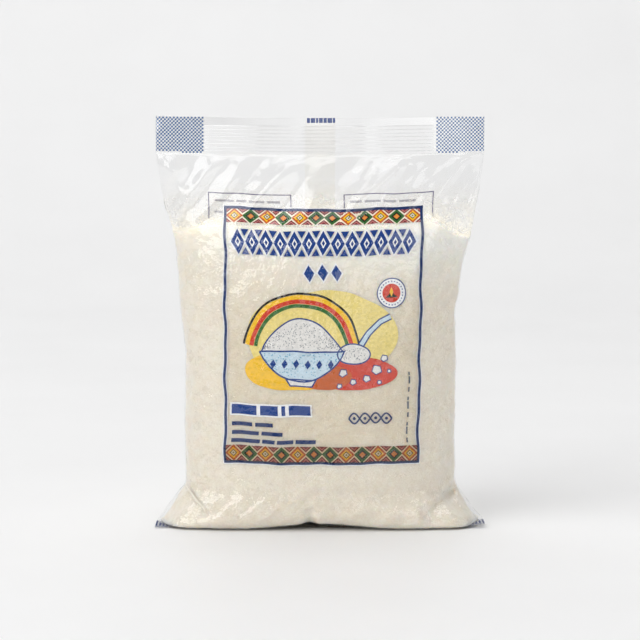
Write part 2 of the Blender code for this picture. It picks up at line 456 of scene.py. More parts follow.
def seal_rows(ring):
    """Rows up the top seal, whose layers lie together in slow waves, and the surface midway between."""
    count = CRIMPS * CRIMP_ROWS + 8
    x, middle = ring[:, 0], (ring[:, 1] + ring[MIRROR, 1]) / 2
    printed = eased((abs(x) - (85.5 - CHECKED_WIDTH - 2) * MM) / (2 * MM))
    gap = SEAL_GAP * (1 + printed) / 2
    gap[[0, HALF]] = 0
    gap = np.where(np.arange(COLUMNS) <= HALF, -gap, gap)
    depth = sum(share * np.exp(-(((x / MM - at) / width) ** 4)) for at, width, share in CRIMPED)
    waves = 0.5 * np.sin(x / (9.5 * MM) + 1.0) + 0.5 * np.sin(x / (17 * MM) - 0.6)
    rows, between = [], []
    for height in np.linspace(0, SEAL_HEIGHT, count + 1)[1:]:
        up = height / SEAL_HEIGHT
        corners = LEFT_CORNER_BACK * ramp(-x, 66 * MM, 20 * MM) * ramp(up, 0.45, 0.55)
        corners -= RIGHT_CORNER_FORWARD * ramp(x, 70 * MM, 16 * MM) * up
        y = middle + (waves * up * 0.9 + corners) * MM
        between.append(np.column_stack([x, y, ring[:, 2] + height]))
        pressed = crimp(height) * (0.2 + depth) * (1 - 0.8 * printed)
        rows.append(np.column_stack([x, y + gap - pressed, ring[:, 2] + height]))
    return np.array(rows), np.array(between)[:, : HALF + 1]


def sag(x):
    """How much lower the top seal hangs at x than at its ends."""
    return SEAL_SAG * (1 - (x / CAD_HIGH.x) ** 2)


def curl(x):
    """How far the right corner's tip turns up from the floor at x."""
    return CURL_LIFT * ramp(x, 74 * MM, 10 * MM)


def drawn_out(grid, foot):
    """The grid with its bottom corners drawn out to half width foot on the floor, as flat ears."""
    grid = grid.copy()
    x, z = grid[:, :, 0], grid[:, :, 2]
    widest = abs(x).max(axis=1, keepdims=True)
    height = np.median(z, axis=1, keepdims=True)
    share = np.clip((EAR_TOP - height) / (EAR_TOP - EAR_FOOT), 0, 1)
    top = widest[int(abs(height[:, 0] - EAR_TOP).argmin())]
    target = np.maximum(widest, top + (foot - top) * share)
    grid[:, :, 0] *= 1 + (target / widest - 1) * (abs(x) / widest) ** 7 * (height < EAR_TOP)
    low = 1 - eased(height / (9 * MM))
    grid[:, :, 2] += (curl(grid[:, :, 0]) - 0.5 * MM * ramp(abs(x), 66 * MM, 8 * MM)) * low
    grid[:, :, 1] += FOLD_Y * share * ramp(abs(x), 58 * MM, 22 * MM)
    return grid


def film_grid():
    """The film's grid, the grid that the sugar lies in, and the surface midway in the top seal."""
    body = body_grid(CadBag())
    body[:, :, 2] -= sag(body[:, :, 0]) * ramp(body[:, :, 2], SAG_START, SAG_RISE)
    top, middle = seal_rows(body[-1])
    plump = drawn_out(body, EAR_HALF_WIDTH - SUGAR_FREE_TIP)
    plump = np.concatenate([base_rows(plump[0]), plump])
    body = drawn_out(body, EAR_HALF_WIDTH)
    pinch = line_relief(body[:, :, 0], body[:, :, 2], PINCHES) * FRONT
    body += normals_of(body) * pinch[:, :, None]
    film = np.concatenate([base_rows(body[0]), body, top])
    return film, plump, middle


def grid_faces(rows, columns, closed=True):
    """Quads of a grid of points, numbered row by row."""
    spans = columns if closed else columns - 1
    r, c = np.meshgrid(np.arange(rows - 1), np.arange(spans), indexing="ij")
    after = (c + 1) % columns
    low, high = r * columns, (r + 1) * columns
    return np.stack([low + c, low + after, high + after, high + c]).reshape(4, -1).T


def lid_faces(first):
    """Quads that join the front columns of one row to the back ones, facing up."""
    c = np.arange(HALF)
    back = (-c) % COLUMNS
    back_after = (-(c + 1)) % COLUMNS
    return first + np.stack([c, c + 1, back_after, back]).T[1:-1]


# ---- Materials ----


class Nodes:
    """Short calls for building the node tree of a material, or of the world."""

    def __init__(self, name, kind="Material"):
        self.owner = (bpy.data.worlds if kind == "World" else bpy.data.materials).new(name)
        self.owner.use_nodes = True
        self.tree = self.owner.node_tree
        self.tree.nodes.clear()
        self.output = self.add(f"ShaderNodeOutput{kind}")

    def add(self, kind, inputs=None, **settings):
        node = self.tree.nodes.new(kind)
        for name, value in settings.items():
            setattr(node, name, value)
        for name, value in (inputs or {}).items():
            if isinstance(value, bpy.types.NodeSocket):
                self.tree.links.new(value, node.inputs[name])
            else:
                node.inputs[name].default_value = value
        return node

    def noise(self, scale, detail=2.0, roughness=0.5):
        place = self.add("ShaderNodeTexCoord").outputs["Object"]
        values = {"Vector": place, "Scale": scale, "Detail": detail, "Roughness": roughness}
        return self.add("ShaderNodeTexNoise", values).outputs["Fac"]

    def mapped(self, value, low, high, to_low, to_high):
        values = dict(enumerate((value, low, high, to_low, to_high)))
        return self.add("ShaderNodeMapRange", values).outputs[0]

    def mixed(self, share, a, b):
        return self.add("ShaderNodeMix", {0: share, 6: a, 7: b}, data_type="RGBA").outputs[2]

    def place(self, axis):
        place = self.add("ShaderNodeTexCoord").outputs["Object"]
        return self.add("ShaderNodeSeparateXYZ", {0: place}).outputs[axis]

    def times(self, a, *others):
        for b in others:
            a = self.add("ShaderNodeMath", {0: a, 1: b}, operation="MULTIPLY").outputs[0]
        return a

    def plus(self, a, b):
        return self.add("ShaderNodeMath", {0: a, 1: b}, operation="ADD").outputs[0]

    def bump(self, strength, distance, height, inputs=None):
        values = {"Strength": strength, "Distance": distance, "Height": height}
        return self.add("ShaderNodeBump", values | (inputs or {})).outputs[0]

    def blend(self, share, a, b):
        return self.add("ShaderNodeMixShader", {0: share, 1: a.outputs[0], 2: b.outputs[0]})

    def by_ray(self, kind, others, these):
        """One value for all other rays, and one for rays of this kind."""
        is_kind = self.add("ShaderNodeLightPath").outputs[f"Is {kind} Ray"]
        return self.mapped(is_kind, 0, 1, others, these)

    def principled(self, colour, roughness, specular, inputs=None):
        values = {"Base Color": colour, "Roughness": roughness, "Specular IOR Level": specular}
        return self.add("ShaderNodeBsdfPrincipled", values | (inputs or {}))

    def done(self, shader):
        self.tree.links.new(shader.outputs[0], self.output.inputs["Surface"])
        return self.owner


def linear(red, green, blue):
    """A colour given as it looks on a screen, from 0 to 255."""
    parts = [c / 255 for c in (red, green, blue)]
    return (*[p / 12.92 if p <= 0.04045 else ((p + 0.055) / 1.055) ** 2.4 for p in parts], 1.0)


def dimmed(colour, share):
    return tuple(c * share for c in linear(*colour)[:3]) + (1.0,)


def powder(n, colour):
    """Scattering in a thin layer, lit from both sides."""
    face = n.add("ShaderNodeBsdfDiffuse", {"Color": linear(*colour)})
    glow = n.add("ShaderNodeBsdfTranslucent", {"Color": linear(*colour)})
    return n.blend(0.5, face, glow)


def film_material(name, clearness, haze, tint=(255, 255, 255), roughness=0.13, gain=1.15):
    """Thin clear film: it mirrors a little, more at a slant, and lets the rest through. Sugar dust
    whitens its inside just above the sugar."""
    n = Nodes(name)
    inside = n.add("ShaderNodeNewGeometry").outputs["Backfacing"]
    fresnel = n.add("ShaderNodeFresnel", {"IOR": n.mapped(inside, 0, 1, 1.5, 1 / 1.5)}).outputs[0]
    fresnel = n.times(fresnel, n.mapped(inside, 0, 1, gain, gain * 0.4))
    patches = n.mapped(n.noise(90, 3), 0.35, 0.7, haze * 0.6, haze * 1.5)
    height = n.place("Z")
    full = n.mapped(height, *FULL_FILM, 1, 0)
    wrinkles = n.bump(n.times(full, 0.8), 1.5 * MM, n.noise(210, 2))
    wrinkles = n.bump(0.10, 0.2 * MM, n.noise(450, 3), {"Normal": wrinkles})
    clear = n.add("ShaderNodeBsdfTransparent", {"Color": dimmed(tint, clearness)})
    glossy = {"Color": (1, 1, 1, 1), "Roughness": roughness, "Normal": wrinkles}
    mix = n.blend(n.plus(fresnel, patches), clear, n.add("ShaderNodeBsdfGlossy", glossy))
    cover = n.times(
        n.mapped(height, *DUST_RISE, 0, 1),
        n.mapped(height, *DUST_FALL, DUST_COVER, 0),
        n.mapped(n.noise(140, 4), 0.35, 0.65, 0.4, 1),
        inside,
        n.by_ray("Shadow", 1, 0.2),
    )
    return n.done(n.blend(cover, mix, powder(n, DUST_COLOUR)))


def sugar_material(name, light, dark):
    """Fine crystals: cream white, speckled crystal by crystal, with slightly darker clumps, and with
    painted light that lightens the sugar towards its top, more so on the right.
    """
    n = Nodes(name)
    speckle = n.mapped(n.noise(1300, 2, 0.7), 0.30, 0.70, 0, 1)
    clumps = n.mapped(n.noise(230, 4, 0.6), 0.3, 0.72, 0, 1)
    share = n.plus(n.times(speckle, 0.6), n.times(clumps, 0.4))
    height = n.place("Z")
    share = n.times(share, n.mapped(height, EVEN_SUGAR, LEVEL, 1.0, 0.25))
    # Painted light: the colour is lightened towards the top, and more so towards the right.
    to_right = n.mapped(n.place("X"), *PAINTED_LIGHT_TO_RIGHT, 0.1, 1)
    painted_light = n.times(n.mapped(height, *PAINTED_LIGHT_RISE, 0, 1), to_right)
    colour = n.mixed(painted_light, n.mixed(share, light, dark), linear(*PAINTED_LIGHT_COLOUR))
    grainy = n.plus(n.noise(1100, 2, 0.7), n.times(n.noise(330, 3), 1.6))
    glow = {
        "Subsurface Weight": 0.7,
        "Subsurface Radius": (1.0, 0.75, 0.5),
        "Subsurface Scale": SUGAR_GLOW,
        "Normal": n.bump(0.8, 0.5 * MM, grainy),
    }
    return n.done(n.principled(colour, 0.62, 0.35, glow))


def crystal_material(name, colour):
    """Loose crystals, which scatter light, let some of it through and hardly shade each other."""
    n = Nodes(name)
    clear = n.add("ShaderNodeBsdfTransparent")
    return n.done(n.blend(n.by_ray("Shadow", 0.45, 0.95), powder(n, colour), clear))


def ink_material(name, colour, darker=0.82):
    """Printed ink with the slight mottling of a cheap print."""
    n = Nodes(name)
    share = n.mapped(n.noise(700, 3), 0.35, 0.75, 0, 1)
    mottled = n.mixed(share, linear(*colour), dimmed(colour, darker))
    return n.done(n.principled(mottled, 0.42, 0.2))


def tint_material(name, colour, low, high):
    """A clear coat that only tints what is behind it, and fades out between two heights. It serves as the
    label's printed tint, and as painted shade over the lower strip.
    """
    n = Nodes(name)
    tint = n.mixed(n.mapped(n.place("Z"), low, high, 0, 1), linear(*colour), linear(255, 255, 255))
    return n.done(n.add("ShaderNodeBsdfTransparent", {"Color": tint}))


# ---- Sugar ----


def level_at(x, y):
    """Height of the sugar's surface: higher on the right, lower at both sides, and uneven."""
    across = x / MM
    heap = 2.4 * ramp(across, 20, 30)
    heap = heap - 5.5 * ramp(-across, 54, 26) - 9.5 * ramp(across, 54, 22)
    lumps = (
        0.9 * np.sin(x / (7.5 * MM) + 1.3 * np.sin(y / (9 * MM)))
        + 0.7 * np.sin(x / (15 * MM) + y / (6 * MM) + 2.0)
        + 0.5 * np.sin(y / (5 * MM) - x / (11 * MM))
    )
    return LEVEL + (heap + lumps * 0.6) * MM


def add_sugar(film, top_row, material):
    """The sugar: its side, just inside the film, and its top of free-lying grains, which it returns as a
    grid.
    """
    inner = (film[:top_row] - normals_of(film[:top_row]) * FILM_TO_SUGAR)[2:]
    relief = wavy_noise(inner.shape[:2], 2, 7, seed=21) * 0.07 * MM
    inner -= normals_of(inner) * (relief + 0.1 * MM)[:, :, None]
    level = level_at(inner[:, :, 0], inner[:, :, 1])
    above = inner[:, :, 2] > level
    top = above.argmax(axis=0)
    columns = np.arange(COLUMNS)
    gap_low = inner[top - 1, columns, 2] - level[top - 1, columns]
    gap_high = inner[top, columns, 2] - level[top, columns]
    reach = top - 1 + gap_low / (gap_low - gap_high)
    rows = int(reach.max()) + 1
    side = []
    for share in np.linspace(0, 1, rows):
        at = share * reach
        low = np.minimum(at.astype(int), inner.shape[0] - 2)
        part = (at - low)[:, None]
        side.append(inner[low, columns] * (1 - part) + inner[low + 1, columns] * part)
    side = np.array(side)
    rim = side[-1]
    spine = (rim + rim[MIRROR]) / 2
    lid = []
    for share in 1 - np.linspace(0, 1, LID_ROWS + 1)[1:]:
        place = spine + (rim - spine) * share
        place[:, 0] *= 0.985 + 0.015 * share
        place[:, 2] = level_at(place[:, 0], place[:, 1])
        lid.append(place)
    lid = np.array(lid)
    rough = wavy_noise(lid.shape[:2], 2, 6, seed=33) * 0.22 * MM
    lid[:-1, :, 2] += rough[:-1]
    lid[-1, :, 2] = (lid[-1, :, 2] + lid[-1, MIRROR, 2]) / 2
    grid = np.concatenate([side, lid])
    piece("sugar", grid.reshape(-1, 3), grid_faces(len(grid), COLUMNS), material)
    return lid


def add_blocks(name, places, sizes, seed, material):
    """Loose crystals: small blocks, each turned its own way."""
    rng = np.random.default_rng(seed)
    corners = np.array([[x, y, z] for x in (-1, 1) for y in (-1, 1) for z in (-1, 1)]) / 2
    quads = np.array([[0, 1, 3, 2], [4, 6, 7, 5], [0, 4, 5, 1], [2, 3, 7, 6], [0, 2, 6, 4], [1, 5, 7, 3]])
    count = len(places)
    turns, _ = np.linalg.qr(rng.standard_normal((count, 3, 3)))
    stretch = rng.uniform(0.7, 1.15, (count, 1, 3))
    blocks = corners[None] * stretch * sizes[:, None, None]
    blocks = np.einsum("nij,nkj->nki", turns, blocks) + places[:, None]
    flipped = np.linalg.det(turns) < 0
    faces = quads[None] + 8 * np.arange(count)[:, None, None]
    faces[flipped] = faces[flipped][:, :, ::-1]
    piece(name, blocks.reshape(-1, 3), faces.reshape(-1, 4), material, smooth=False)


def add_grains(film, seal_row, lid, material):
    """Crystals on the sugar's top, others that cling to the film above it, and dust higher up."""
    rng = np.random.default_rng(41)
    row, column = rng.uniform(0, len(lid) - 2, LID_GRAINS), rng.integers(0, COLUMNS, LID_GRAINS)
    on_lid = lid[row.astype(int), column] + rng.normal(0, 0.45 * MM, (LID_GRAINS, 3))
    on_lid[:, 2] += 0.2 * MM
    inwards = -normals_of(film)
    count = CLINGING_GRAINS + DUST_GRAINS
    above = rng.exponential(2.3 * MM, count)
    above[CLINGING_GRAINS:] = rng.uniform(4 * MM, 24 * MM, DUST_GRAINS)
    above = np.minimum(above, 26 * MM)
    column = rng.integers(0, COLUMNS, count)
    clinging = np.empty((count, 3))
    for k, c in enumerate(column):
        run = film[:seal_row, c]
        height = level_at(*run[seal_row // 2, :2]) + above[k] - 0.6 * MM
        at = int(np.searchsorted(run[:, 2], height))
        clinging[k] = run[at] + inwards[at, c] * rng.uniform(0.25, 0.8) * MM
        clinging[k, 2] = height
    clinging[:, 0] += rng.normal(0, 0.5 * MM, count) * (abs(clinging[:, 0]) < 60 * MM)
    places = np.concatenate([on_lid, clinging])
    sizes = rng.uniform(0.26, 0.46, len(places)) * MM
    sizes[-DUST_GRAINS:] *= 0.7
    add_blocks("grains", places, sizes, 43, material)


# ---- Seam and folded seal ----


def surface_tree(grid, closed=True):
    """A grid's surface, for casting rays at it."""
    faces = grid_faces(*grid.shape[:2], closed=closed)
    return BVHTree.FromPolygons(grid.reshape(-1, 3).tolist(), faces.tolist())


def cast(tree, x, z, side):
    """The film's y at a point of the front view, seen from the front (side -1) or the back (side 1)."""
    hit = tree.ray_cast(Vector((x, side * 0.2, z)), Vector((0, -side, 0)))[0]
    return None if hit is None else hit.y


def add_seam(tree, material):
    """The lapped strip up the back, whose free edge stands off a little."""
    across = np.linspace(-1, 1, 13)
    heights = np.linspace(11 * MM, CAD_HIGH.z - 1.5 * MM, 150)
    places = []
    for z in heights:
        free = 0.5 * math.sin(z / (13 * MM)) + 0.5 * math.sin(z / (5.3 * MM) + 1)
        below_seal = eased((192 * MM - z) / (20 * MM))
        for a in across:
            x = a * SEAM_HALF
            lift = 0.12 + 0.5 * ramp(a, 0.4, 0.6) * (0.5 + 0.4 * free) * below_seal
            places.append((x, cast(tree, x, z, 1) + (0.10 + lift) * MM, z))
    faces = grid_faces(len(heights), len(across), closed=False)
    piece("back_seam", places, faces[:, ::-1], material)


def add_corner_fold(tree, material):
    """A sharp fold on the left bottom corner: a low tent of film, whitened by the sugar caught in it."""
    (x0, z0), (x1, z1) = CORNER_FOLD
    length = math.hypot(x1 - x0, z1 - z0)
    aside_x, aside_z = (z0 - z1) / length, (x1 - x0) / length
    places = []
    for t in np.linspace(0, 1, 31):
        tall = math.sin(math.pi * t) ** 0.6
        for aside, proud in ((0, 0), (0.3, 1.0 * tall), (1.3 * tall + 0.3, 0)):
            x = (x0 + (x1 - x0) * t + aside_x * aside + 0.2 * math.sin(9 * t)) * MM
            z = (z0 + (z1 - z0) * t + aside_z * aside) * MM
            y = cast(tree, x, z, -1)
            places.append((x - 0.5 * proud * MM, y - (0.04 + proud) * MM, z))
    piece("corner_fold", places, grid_faces(31, 3, closed=False), material)


def seal_strip(x, along):
    """Height of the folded bottom seal's middle at x and this far from its fold."""
    waves = 0.16 * np.sin(x / (8 * MM)) * ramp(abs(x), 76 * MM, 6 * MM) * (along / SEAL_HEIGHT)
    return (0.5 + waves) * MM + crimp(along) * 0.4 + curl(x) * (0.7 + 1.2 * along / SEAL_HEIGHT)


def add_folded_seal(material):
    """The bottom seal, folded forward flat on the floor: two crimped layers under the bag."""
    x = np.linspace(-FOLDED_HALF_WIDTH, FOLDED_HALF_WIDTH, 172)
    along = np.linspace(0, SEAL_HEIGHT, CRIMPS * CRIMP_ROWS + 9)
    grid_x, grid_along = np.meshgrid(x, along)
    layers = []
    for side in (1, -1):
        z = seal_strip(grid_x, grid_along) + side * SEAL_GAP / 2
        layers.append(np.stack([grid_x, FOLD_Y - grid_along, np.maximum(z, 0.05 * MM)], axis=2))
    rows, columns = len(along), len(x)
    up = grid_faces(rows, columns, closed=False)
    places = np.concatenate([layer.reshape(-1, 3) for layer in layers])
    faces = np.concatenate([up[:, ::-1], up + rows * columns])
    piece("folded_seal", places, faces, material)


# ---- Print ----


def blob(cx, cz, a, b, lumps=0.0, points=60):
    """Points round an ellipse, which lumps make uneven."""
    turns = [2 * math.pi * k / points for k in range(points)]
    across = [a * (1 + lumps * math.sin(3 * t + 1)) * math.cos(t) for t in turns]
    up = [b * (1 + lumps * math.sin(2 * t)) * math.sin(t) for t in turns]
    return [(cx + u, cz + v) for u, v in zip(across, up)]


class Sheet:
    """Flat inked shapes on one panel, in mm, which are then laid on the film."""

    def __init__(self):
        self.shapes = {}

    def fill(self, ink, layer, points):
        self.shapes.setdefault(ink, []).append((layer, [tuple(map(float, p)) for p in points]))

    def box(self, ink, layer, left, bottom, right, top):
        self.fill(ink, layer, [(left, bottom), (right, bottom), (right, top), (left, top)])

    def speckle(self, ink, layer, x, z, size):
        self.box(ink, layer, x, z, x + size, z + size)

    def lozenge(self, ink, layer, x, z, half_width, half_height):
        sides = ((-half_width, 0), (0, -half_height), (half_width, 0), (0, half_height))
        self.fill(ink, layer, [(x + u, z + v) for u, v in sides])

    def outlined(self, ink, layer, points, width):
        self.fill(ink, layer, points)
        self.line("blue", 7, points, width, closed=True)

    def disc(self, ink, layer, x, z, radius, points=36):
        self.fill(ink, layer, blob(x, z, radius, radius, points=points))

    def line(self, ink, layer, points, width, closed=False):
        """A line of one width with mitred corners."""
        points = np.array(points, float)
        before = np.roll(points, 1, 0) if closed else np.concatenate([points[:1], points[:-1]])
        after = np.roll(points, -1, 0) if closed else np.concatenate([points[1:], points[-1:]])

        def unit(v):
            return v / np.maximum(np.linalg.norm(v, axis=1, keepdims=True), 1e-9)

        arriving, leaving = unit(points - before), unit(after - points)
        along = unit(arriving + leaving)
        left = np.stack([-along[:, 1], along[:, 0]], axis=1)
        turned = np.stack([-leaving[:, 1], leaving[:, 0]], axis=1)
        turned = np.where(abs(leaving).sum(axis=1, keepdims=True) > 0, turned, left)
        mitre = 1 / np.maximum((left * turned).sum(axis=1, keepdims=True), 0.4)
        a, b = points + left * mitre * width / 2, points - left * mitre * width / 2
        for k in range(len(points) if closed else len(points) - 1):
            after_k = (k + 1) % len(points)
            self.fill(ink, layer, [b[k], b[after_k], a[after_k], a[k]])

    def lay(self, name, place, inks, cut=PRINT_CUT):
        """Makes one mesh of each ink. place(x, z, layer) says where a point goes, or None for nowhere."""
        for ink, shapes in self.shapes.items():
            mesh = bmesh.new()
            for layer, points in shapes:
                corners = [mesh.verts.new((u, v, layer)) for u, v in points]
                outline = [Vector((u, v, 0)) for u, v in points]
                for triangle in tessellate_polygon([outline]):
                    face = mesh.faces.new([corners[i] for i in triangle])
                    face.normal_update()
                    if face.normal.z < 0:
                        face.normal_flip()
            for axis, normal in enumerate(((1.0, 0.0, 0.0), (0.0, 1.0, 0.0))):
                reach = [v.co[axis] / cut for v in mesh.verts]
                for k in range(math.ceil(min(reach)), math.floor(max(reach)) + 1):
                    parts = mesh.verts[:] + mesh.edges[:] + mesh.faces[:]
                    at = [c * k * cut for c in normal]
                    bmesh.ops.bisect_plane(mesh, geom=parts, plane_co=at, plane_no=normal)
            bmesh.ops.triangulate(mesh, faces=[f for f in mesh.faces if len(f.verts) > 4])
            mesh.verts.index_update()
            places = [place(*v.co) for v in mesh.verts]
            faces = [[v.index for v in f.verts] for f in mesh.faces]
            mesh.free()
            faces = [f for f in faces if all(places[i] for i in f)]
            kept = sorted({i for f in faces for i in f})
            number = {old: new for new, old in enumerate(kept)}
            faces = [[number[i] for i in f] for f in faces]
            piece(f"{name}_{ink}", [places[i] for i in kept], faces, inks[ink])


def on_film(tree, side, wobble=1.0):
    """Lays a sheet just inside the film: side -1 is the front, 1 the back."""

    def place(u, v, layer):
        bend = 1.5 * ((u - 1.6) / 50) ** 2 * max(0.0, (v - 100) / 65) if v < 185 else 0.0
        sway = 0.30 * math.sin(v / 6.1 + u / 23) + 0.22 * math.sin(v / 2.9 + 1.3 - u / 31)
        heave = 0.22 * math.sin(u / 5.3 + v / 19) + 0.12 * math.sin(u / 2.3 + 0.8)
        if side < 0:
            u -= LABEL_TAPER * (u - LABEL_LEFT) * (LABEL_TOP - v) / (LABEL_TOP - LABEL_BOTTOM)
        x, z = (u + sway * wobble) * MM, (v + bend + heave * wobble) * MM
        y = cast(tree, x, z, side)
        if y is None:
            return None
        return (x, y - side * (FILM_TO_PRINT + (LAYERS - layer) * PRINT_STEP), z)

    return place


def on_seal(middle, side):
    """Lays a sheet between the top seal's layers, near the surface midway between them."""
    tree = surface_tree(middle, closed=False)

    def place(u, v, layer):
        y = cast(tree, u * MM, v * MM, side)
        if y is None:
            return None
        return (u * MM, y + side * (1 + layer) * SEAL_PRINT_STEP - 0.035 * MM, v * MM)

    return place


def on_folded_seal(u, v, layer):
    """Lays a sheet on the folded seal's upper side, with v from its fold on."""
    z = float(seal_strip(u * MM, v * MM)) + SEAL_GAP / 2 + (1 + layer) * SEAL_PRINT_STEP
    return (u * MM, FOLD_Y - v * MM, z)


# Nested lozenges: ink and size of each, from the outermost in
ORANGE_LOZENGE = (
    ("orange", 1.05), ("yellow", 0.76), ("dark_green", 0.46), ("ivory", 0.33), ("olive", 0.15)
)
GREEN_LOZENGE = (("green", 1.05), ("dark_green", 0.67), ("apricot", 0.40))


def draw_strip(sheet, bottom, top):
    """A traditional band of nested lozenges, orange and green in turn, with striped triangles between."""
    left, right = LABEL_LEFT + 0.5, LABEL_RIGHT - 0.5
    count = 12
    pitch = (right - left) / count
    middle, half = (bottom + top) / 2, (top - bottom) / 2
    sheet.box("white", -1, left, bottom, right, top)
    sheet.box("ivory", 1, left, bottom, right, top)
    for k in range(count + 1):
        x = left + k * pitch
        low, high = max(x - pitch / 2 + 1.1, left), min(x + pitch / 2 - 1.1, right)
        for way in (-1, 1):
            edge = middle + way * half
            for ink, layer, shrink in (("maroon", 2, 0.0), ("rose", 3, 0.3), ("maroon", 4, 0.55)):
                a = low + (x - low) * shrink
                b = high + (x - high) * shrink
                tip = edge - way * (half - 1.15) * (1 - shrink)
                corners = [(a, edge), (x, tip), (b, edge)] if way < 0 else [(a, edge), (b, edge), (x, tip)]
                sheet.fill(ink, layer, corners)
    for k in range(count):
        x = left + (k + 0.5) * pitch
        rings = ORANGE_LOZENGE if (k % 2 == 0) == (k < count / 2) else GREEN_LOZENGE
        for layer, (ink, share) in enumerate(rings, 3):
            sheet.lozenge(ink, layer, x, middle, pitch / 2 * share, half * share)


def draw_bars(sheet, ink, layer, x, middle, height, lengths, gap):
    """A line of plain bars in place of words."""
    for length in lengths:
        sheet.box(ink, layer, x, middle - height / 2, x + length, middle + height / 2)
        x += length + gap


HEADING_LOZENGES = 13
HEADING_PITCH = 7.3


def draw_heading(sheet):
    """The label's heading: a chain of bold blue lozenges with white eyes, and triangles between them."""
    middle, half = 147.9, 6.2
    first = (LABEL_LEFT + LABEL_RIGHT) / 2 - HEADING_PITCH * (HEADING_LOZENGES - 1) / 2
    for k in range(HEADING_LOZENGES):
        x = first + HEADING_PITCH * k
        sheet.lozenge("white", 1, x, middle, 4.4, half + 1.2)
        sheet.lozenge("blue", 3, x, middle, 3.5, half)
        sheet.lozenge("white", 4, x, middle, 1.5, 2.7)
        sheet.lozenge("blue", 5, x, middle, 0.8, 1.4)
        if k == 0:
            continue
        for way in (-1, 1):
            edge = middle + way * half
            at = x - HEADING_PITCH / 2
            points = [(at - 2.1, edge), (at, edge - way * 3.6), (at + 2.1, edge)]
            sheet.fill("blue", 2, points if way > 0 else points[::-1])


# Loose crystals beside the bowl: x, z and half width
CRYSTALS = (
    (30.0, 84.0, 2.6), (24.5, 79.5, 1.9), (34.0, 90.0, 1.8), (17.5, 77.6, 1.6), (31.0, 77.5, 1.1),
    (36.5, 83.5, 1.0), (10.5, 76.0, 1.3), (12.5, 82.5, 2.1),
)
# The arch's bands: radius, width and ink
ARCH_BANDS = ((30.2, 1.1, "black"), (28.4, 2.2, "yellow"), (26.2, 2.2, "red"), (24.0, 1.8, "green"))


def draw_illustration(sheet):
    """A bowl heaped with sugar before a banded arch, on yellow and red ground, with a full spoon."""
    sheet.fill("pale_yellow", 1, blob(0.5, 100.0, 39.0, 24.5, lumps=0.05))
    sheet.fill("yellow", 2, blob(-12.0, 84.0, 27.0, 10.5, lumps=0.04))
    sheet.fill("red", 3, blob(20.0, 82.0, 20.0, 8.5, lumps=0.05))
    sheet.fill("orange", 4, blob(3.0, 80.5, 14.0, 6.5))
    turns = [math.radians(8 + 164 * k / 40) for k in range(41)]
    for radius, width, ink in ARCH_BANDS:
        arc = [(-9.0 + radius * math.cos(t), 93.0 + radius * math.sin(t)) for t in turns]
        sheet.line(ink, 3, arc, width)
    # The bowl and its heap
    heap = [(-30 + 42 * k / 24, 93.5 + 17.0 * math.sin(math.pi * k / 24) ** 0.8) for k in range(25)]
    sheet.fill("sugar_white", 4, heap)
    sheet.line("blue", 6, heap, 0.7)
    bowl = [(-31 + 44 * k / 24, 93.5 - 15.5 * math.sin(math.pi * k / 24) ** 0.7) for k in range(25)]
    sheet.fill("ice", 5, bowl[::-1])
    sheet.line("blue", 7, bowl + [bowl[0]], 0.8)
    foot = [(-16.5, 79.0), (-1.5, 79.0), (-3.5, 75.6), (-14.5, 75.6)]
    sheet.fill("sugar_white", 5, foot[::-1])
    sheet.line("blue", 6, foot, 0.7, closed=True)
    for k in range(6):
        sheet.lozenge("blue", 7, -24.0 + 6.0 * k, 87.0, 1.6, 2.4)
    # The spoon
    handle = [(22.0, 97.0), (26.0, 103.0), (31.5, 108.5), (36.5, 111.0)]
    sheet.line("blue", 5, handle, 3.4)
    sheet.line("ice", 6, handle, 2.0)
    sheet.outlined("sugar_white", 5, blob(18.0, 92.0, 8.6, 5.2, points=36), 0.7)
    # Crystals
    for x, z, size in CRYSTALS:
        corners = [(x - size, z - 0.3 * size), (x - 0.2 * size, z - size), (x + size, z - 0.4 * size)]
        corners += [(x + 0.8 * size, z + 0.7 * size), (x - 0.5 * size, z + 0.9 * size)]
        sheet.outlined("sugar_white", 5, corners, 0.45)
    # Speckles
    rng = np.random.default_rng(3)
    for _ in range(230):
        t = rng.uniform(0, 1)
        z = 94.5 + rng.uniform(0, 0.86) * 16.0 * math.sin(math.pi * t) ** 0.8
        sheet.speckle("slate", 5, -29 + 40 * t, z, 0.38)
    for _ in range(60):
        sheet.speckle("slate", 6, 18 + rng.uniform(-6, 6), 92 + rng.uniform(-3, 3), 0.36)
    for _ in range(150):
        t = rng.uniform(0.05, 0.95)
        z = 92.4 - rng.uniform(0, 0.85) * 15.0 * math.sin(math.pi * t) ** 0.7
        sheet.speckle("sky", 6, -31 + 44 * t, z, 0.5)


def draw_roundel(sheet):
    """A round mark: a flame on red in a ring of small squares."""
    x, z = 37.2, 122.6
    sheet.disc("blue", 3, x, z, 7.6)
    sheet.disc("white", 4, x, z, 7.1)
    sheet.disc("red", 5, x, z, 4.7)
    sheet.fill("dark_green", 6, [(x - 3.2, z - 2.2), (x + 3.2, z - 2.2), (x, z + 0.6)])
    sheet.lozenge("yellow", 7, x, z + 0.6, 1.0, 2.4)
    for k in range(24):
        turn = 2 * math.pi * k / 24
        at, up = x + 5.9 * math.cos(turn), z + 5.9 * math.sin(turn)
        sheet.box("blue", 5, at - 0.3, up - 0.3, at + 0.3, up + 0.3)


BRAID_WIDTH = 0.85


